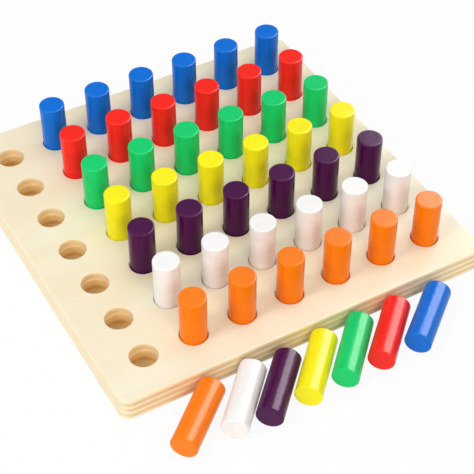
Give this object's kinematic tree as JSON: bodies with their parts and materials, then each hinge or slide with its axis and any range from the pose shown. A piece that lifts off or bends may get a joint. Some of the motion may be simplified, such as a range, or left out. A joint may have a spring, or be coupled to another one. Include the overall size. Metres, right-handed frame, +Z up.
{
  "type": "peg board",
  "caption": "Square plywood board with a grid of blind round holes, rows of painted dowel pegs that lift out, and a loose peg of each colour, for sorting play",
  "frame": {"origin": "middle of the board's underside", "axes": "+Z up, out of the holes; +X along the rows to the right, with the empty holes at -X; -Y is the front, where the loose pegs lie"},
  "size_m": [0.325, 0.3871, 0.063],
  "materials": {
    "plywood": "sanded, clear-sealed plywood with bare edges",
    "blue_paint": "satin paint on wood",
    "red_paint": "satin paint on wood",
    "green_paint": "satin paint on wood",
    "yellow_paint": "satin paint on wood",
    "purple_paint": "satin paint on wood",
    "white_paint": "satin paint on wood",
    "orange_paint": "satin paint on wood"
  },
  "bodies": {
    "board": {"board": "plywood"},
    "blue_peg_1": {"blue_peg_1": "blue_paint"},
    "blue_peg_2": {"blue_peg_2": "blue_paint"},
    "blue_peg_3": {"blue_peg_3": "blue_paint"},
    "blue_peg_4": {"blue_peg_4": "blue_paint"},
    "blue_peg_5": {"blue_peg_5": "blue_paint"},
    "blue_peg_6": {"blue_peg_6": "blue_paint"},
    "red_peg_1": {"red_peg_1": "red_paint"},
    "red_peg_2": {"red_peg_2": "red_paint"},
    "red_peg_3": {"red_peg_3": "red_paint"},
    "red_peg_4": {"red_peg_4": "red_paint"},
    "red_peg_5": {"red_peg_5": "red_paint"},
    "red_peg_6": {"red_peg_6": "red_paint"},
    "green_peg_1": {"green_peg_1": "green_paint"},
    "green_peg_2": {"green_peg_2": "green_paint"},
    "green_peg_3": {"green_peg_3": "green_paint"},
    "green_peg_4": {"green_peg_4": "green_paint"},
    "green_peg_5": {"green_peg_5": "green_paint"},
    "green_peg_6": {"green_peg_6": "green_paint"},
    "yellow_peg_1": {"yellow_peg_1": "yellow_paint"},
    "yellow_peg_2": {"yellow_peg_2": "yellow_paint"},
    "yellow_peg_3": {"yellow_peg_3": "yellow_paint"},
    "yellow_peg_4": {"yellow_peg_4": "yellow_paint"},
    "yellow_peg_5": {"yellow_peg_5": "yellow_paint"},
    "yellow_peg_6": {"yellow_peg_6": "yellow_paint"},
    "purple_peg_1": {"purple_peg_1": "purple_paint"},
    "purple_peg_2": {"purple_peg_2": "purple_paint"},
    "purple_peg_3": {"purple_peg_3": "purple_paint"},
    "purple_peg_4": {"purple_peg_4": "purple_paint"},
    "purple_peg_5": {"purple_peg_5": "purple_paint"},
    "purple_peg_6": {"purple_peg_6": "purple_paint"},
    "white_peg_1": {"white_peg_1": "white_paint"},
    "white_peg_2": {"white_peg_2": "white_paint"},
    "white_peg_3": {"white_peg_3": "white_paint"},
    "white_peg_4": {"white_peg_4": "white_paint"},
    "white_peg_5": {"white_peg_5": "white_paint"},
    "white_peg_6": {"white_peg_6": "white_paint"},
    "orange_peg_1": {"orange_peg_1": "orange_paint"},
    "orange_peg_2": {"orange_peg_2": "orange_paint"},
    "orange_peg_3": {"orange_peg_3": "orange_paint"},
    "orange_peg_4": {"orange_peg_4": "orange_paint"},
    "orange_peg_5": {"orange_peg_5": "orange_paint"},
    "orange_peg_6": {"orange_peg_6": "orange_paint"},
    "orange_peg_loose": {"orange_peg_loose": "orange_paint"},
    "white_peg_loose": {"white_peg_loose": "white_paint"},
    "purple_peg_loose": {"purple_peg_loose": "purple_paint"},
    "yellow_peg_loose": {"yellow_peg_loose": "yellow_paint"},
    "green_peg_loose": {"green_peg_loose": "green_paint"},
    "red_peg_loose": {"red_peg_loose": "red_paint"},
    "blue_peg_loose": {"blue_peg_loose": "blue_paint"}
  },
  "joints": [
    {"name": "blue_peg_1_lift", "type": "slide", "parent": "board", "child": "blue_peg_1", "axis": [0, 0, 1], "range_m": [0, 0.065]},
    {"name": "blue_peg_2_lift", "type": "slide", "parent": "board", "child": "blue_peg_2", "axis": [0, 0, 1], "range_m": [0, 0.065]},
    {"name": "blue_peg_3_lift", "type": "slide", "parent": "board", "child": "blue_peg_3", "axis": [0, 0, 1], "range_m": [0, 0.065]},
    {"name": "blue_peg_4_lift", "type": "slide", "parent": "board", "child": "blue_peg_4", "axis": [0, 0, 1], "range_m": [0, 0.065]},
    {"name": "blue_peg_5_lift", "type": "slide", "parent": "board", "child": "blue_peg_5", "axis": [0, 0, 1], "range_m": [0, 0.065]},
    {"name": "blue_peg_6_lift", "type": "slide", "parent": "board", "child": "blue_peg_6", "axis": [0, 0, 1], "range_m": [0, 0.065]},
    {"name": "red_peg_1_lift", "type": "slide", "parent": "board", "child": "red_peg_1", "axis": [0, 0, 1], "range_m": [0, 0.065]},
    {"name": "red_peg_2_lift", "type": "slide", "parent": "board", "child": "red_peg_2", "axis": [0, 0, 1], "range_m": [0, 0.065]},
    {"name": "red_peg_3_lift", "type": "slide", "parent": "board", "child": "red_peg_3", "axis": [0, 0, 1], "range_m": [0, 0.065]},
    {"name": "red_peg_4_lift", "type": "slide", "parent": "board", "child": "red_peg_4", "axis": [0, 0, 1], "range_m": [0, 0.065]},
    {"name": "red_peg_5_lift", "type": "slide", "parent": "board", "child": "red_peg_5", "axis": [0, 0, 1], "range_m": [0, 0.065]},
    {"name": "red_peg_6_lift", "type": "slide", "parent": "board", "child": "red_peg_6", "axis": [0, 0, 1], "range_m": [0, 0.065]},
    {"name": "green_peg_1_lift", "type": "slide", "parent": "board", "child": "green_peg_1", "axis": [0, 0, 1], "range_m": [0, 0.065]},
    {"name": "green_peg_2_lift", "type": "slide", "parent": "board", "child": "green_peg_2", "axis": [0, 0, 1], "range_m": [0, 0.065]},
    {"name": "green_peg_3_lift", "type": "slide", "parent": "board", "child": "green_peg_3", "axis": [0, 0, 1], "range_m": [0, 0.065]},
    {"name": "green_peg_4_lift", "type": "slide", "parent": "board", "child": "green_peg_4", "axis": [0, 0, 1], "range_m": [0, 0.065]},
    {"name": "green_peg_5_lift", "type": "slide", "parent": "board", "child": "green_peg_5", "axis": [0, 0, 1], "range_m": [0, 0.065]},
    {"name": "green_peg_6_lift", "type": "slide", "parent": "board", "child": "green_peg_6", "axis": [0, 0, 1], "range_m": [0, 0.065]},
    {"name": "yellow_peg_1_lift", "type": "slide", "parent": "board", "child": "yellow_peg_1", "axis": [0, 0, 1], "range_m": [0, 0.065]},
    {"name": "yellow_peg_2_lift", "type": "slide", "parent": "board", "child": "yellow_peg_2", "axis": [0, 0, 1], "range_m": [0, 0.065]},
    {"name": "yellow_peg_3_lift", "type": "slide", "parent": "board", "child": "yellow_peg_3", "axis": [0, 0, 1], "range_m": [0, 0.065]},
    {"name": "yellow_peg_4_lift", "type": "slide", "parent": "board", "child": "yellow_peg_4", "axis": [0, 0, 1], "range_m": [0, 0.065]},
    {"name": "yellow_peg_5_lift", "type": "slide", "parent": "board", "child": "yellow_peg_5", "axis": [0, 0, 1], "range_m": [0, 0.065]},
    {"name": "yellow_peg_6_lift", "type": "slide", "parent": "board", "child": "yellow_peg_6", "axis": [0, 0, 1], "range_m": [0, 0.065]},
    {"name": "purple_peg_1_lift", "type": "slide", "parent": "board", "child": "purple_peg_1", "axis": [0, 0, 1], "range_m": [0, 0.065]},
    {"name": "purple_peg_2_lift", "type": "slide", "parent": "board", "child": "purple_peg_2", "axis": [0, 0, 1], "range_m": [0, 0.065]},
    {"name": "purple_peg_3_lift", "type": "slide", "parent": "board", "child": "purple_peg_3", "axis": [0, 0, 1], "range_m": [0, 0.065]},
    {"name": "purple_peg_4_lift", "type": "slide", "parent": "board", "child": "purple_peg_4", "axis": [0, 0, 1], "range_m": [0, 0.065]},
    {"name": "purple_peg_5_lift", "type": "slide", "parent": "board", "child": "purple_peg_5", "axis": [0, 0, 1], "range_m": [0, 0.065]},
    {"name": "purple_peg_6_lift", "type": "slide", "parent": "board", "child": "purple_peg_6", "axis": [0, 0, 1], "range_m": [0, 0.065]},
    {"name": "white_peg_1_lift", "type": "slide", "parent": "board", "child": "white_peg_1", "axis": [0, 0, 1], "range_m": [0, 0.065]},
    {"name": "white_peg_2_lift", "type": "slide", "parent": "board", "child": "white_peg_2", "axis": [0, 0, 1], "range_m": [0, 0.065]},
    {"name": "white_peg_3_lift", "type": "slide", "parent": "board", "child": "white_peg_3", "axis": [0, 0, 1], "range_m": [0, 0.065]},
    {"name": "white_peg_4_lift", "type": "slide", "parent": "board", "child": "white_peg_4", "axis": [0, 0, 1], "range_m": [0, 0.065]},
    {"name": "white_peg_5_lift", "type": "slide", "parent": "board", "child": "white_peg_5", "axis": [0, 0, 1], "range_m": [0, 0.065]},
    {"name": "white_peg_6_lift", "type": "slide", "parent": "board", "child": "white_peg_6", "axis": [0, 0, 1], "range_m": [0, 0.065]},
    {"name": "orange_peg_1_lift", "type": "slide", "parent": "board", "child": "orange_peg_1", "axis": [0, 0, 1], "range_m": [0, 0.065]},
    {"name": "orange_peg_2_lift", "type": "slide", "parent": "board", "child": "orange_peg_2", "axis": [0, 0, 1], "range_m": [0, 0.065]},
    {"name": "orange_peg_3_lift", "type": "slide", "parent": "board", "child": "orange_peg_3", "axis": [0, 0, 1], "range_m": [0, 0.065]},
    {"name": "orange_peg_4_lift", "type": "slide", "parent": "board", "child": "orange_peg_4", "axis": [0, 0, 1], "range_m": [0, 0.065]},
    {"name": "orange_peg_5_lift", "type": "slide", "parent": "board", "child": "orange_peg_5", "axis": [0, 0, 1], "range_m": [0, 0.065]},
    {"name": "orange_peg_6_lift", "type": "slide", "parent": "board", "child": "orange_peg_6", "axis": [0, 0, 1], "range_m": [0, 0.065]},
    {"name": "orange_peg_loose_lift", "type": "slide", "parent": "board", "child": "orange_peg_loose", "axis": [0, 0, 1], "range_m": [0, 0.065]},
    {"name": "white_peg_loose_lift", "type": "slide", "parent": "board", "child": "white_peg_loose", "axis": [0, 0, 1], "range_m": [0, 0.065]},
    {"name": "purple_peg_loose_lift", "type": "slide", "parent": "board", "child": "purple_peg_loose", "axis": [0, 0, 1], "range_m": [0, 0.065]},
    {"name": "yellow_peg_loose_lift", "type": "slide", "parent": "board", "child": "yellow_peg_loose", "axis": [0, 0, 1], "range_m": [0, 0.065]},
    {"name": "green_peg_loose_lift", "type": "slide", "parent": "board", "child": "green_peg_loose", "axis": [0, 0, 1], "range_m": [0, 0.065]},
    {"name": "red_peg_loose_lift", "type": "slide", "parent": "board", "child": "red_peg_loose", "axis": [0, 0, 1], "range_m": [0, 0.065]},
    {"name": "blue_peg_loose_lift", "type": "slide", "parent": "board", "child": "blue_peg_loose", "axis": [0, 0, 1], "range_m": [0, 0.065]}
  ]
}
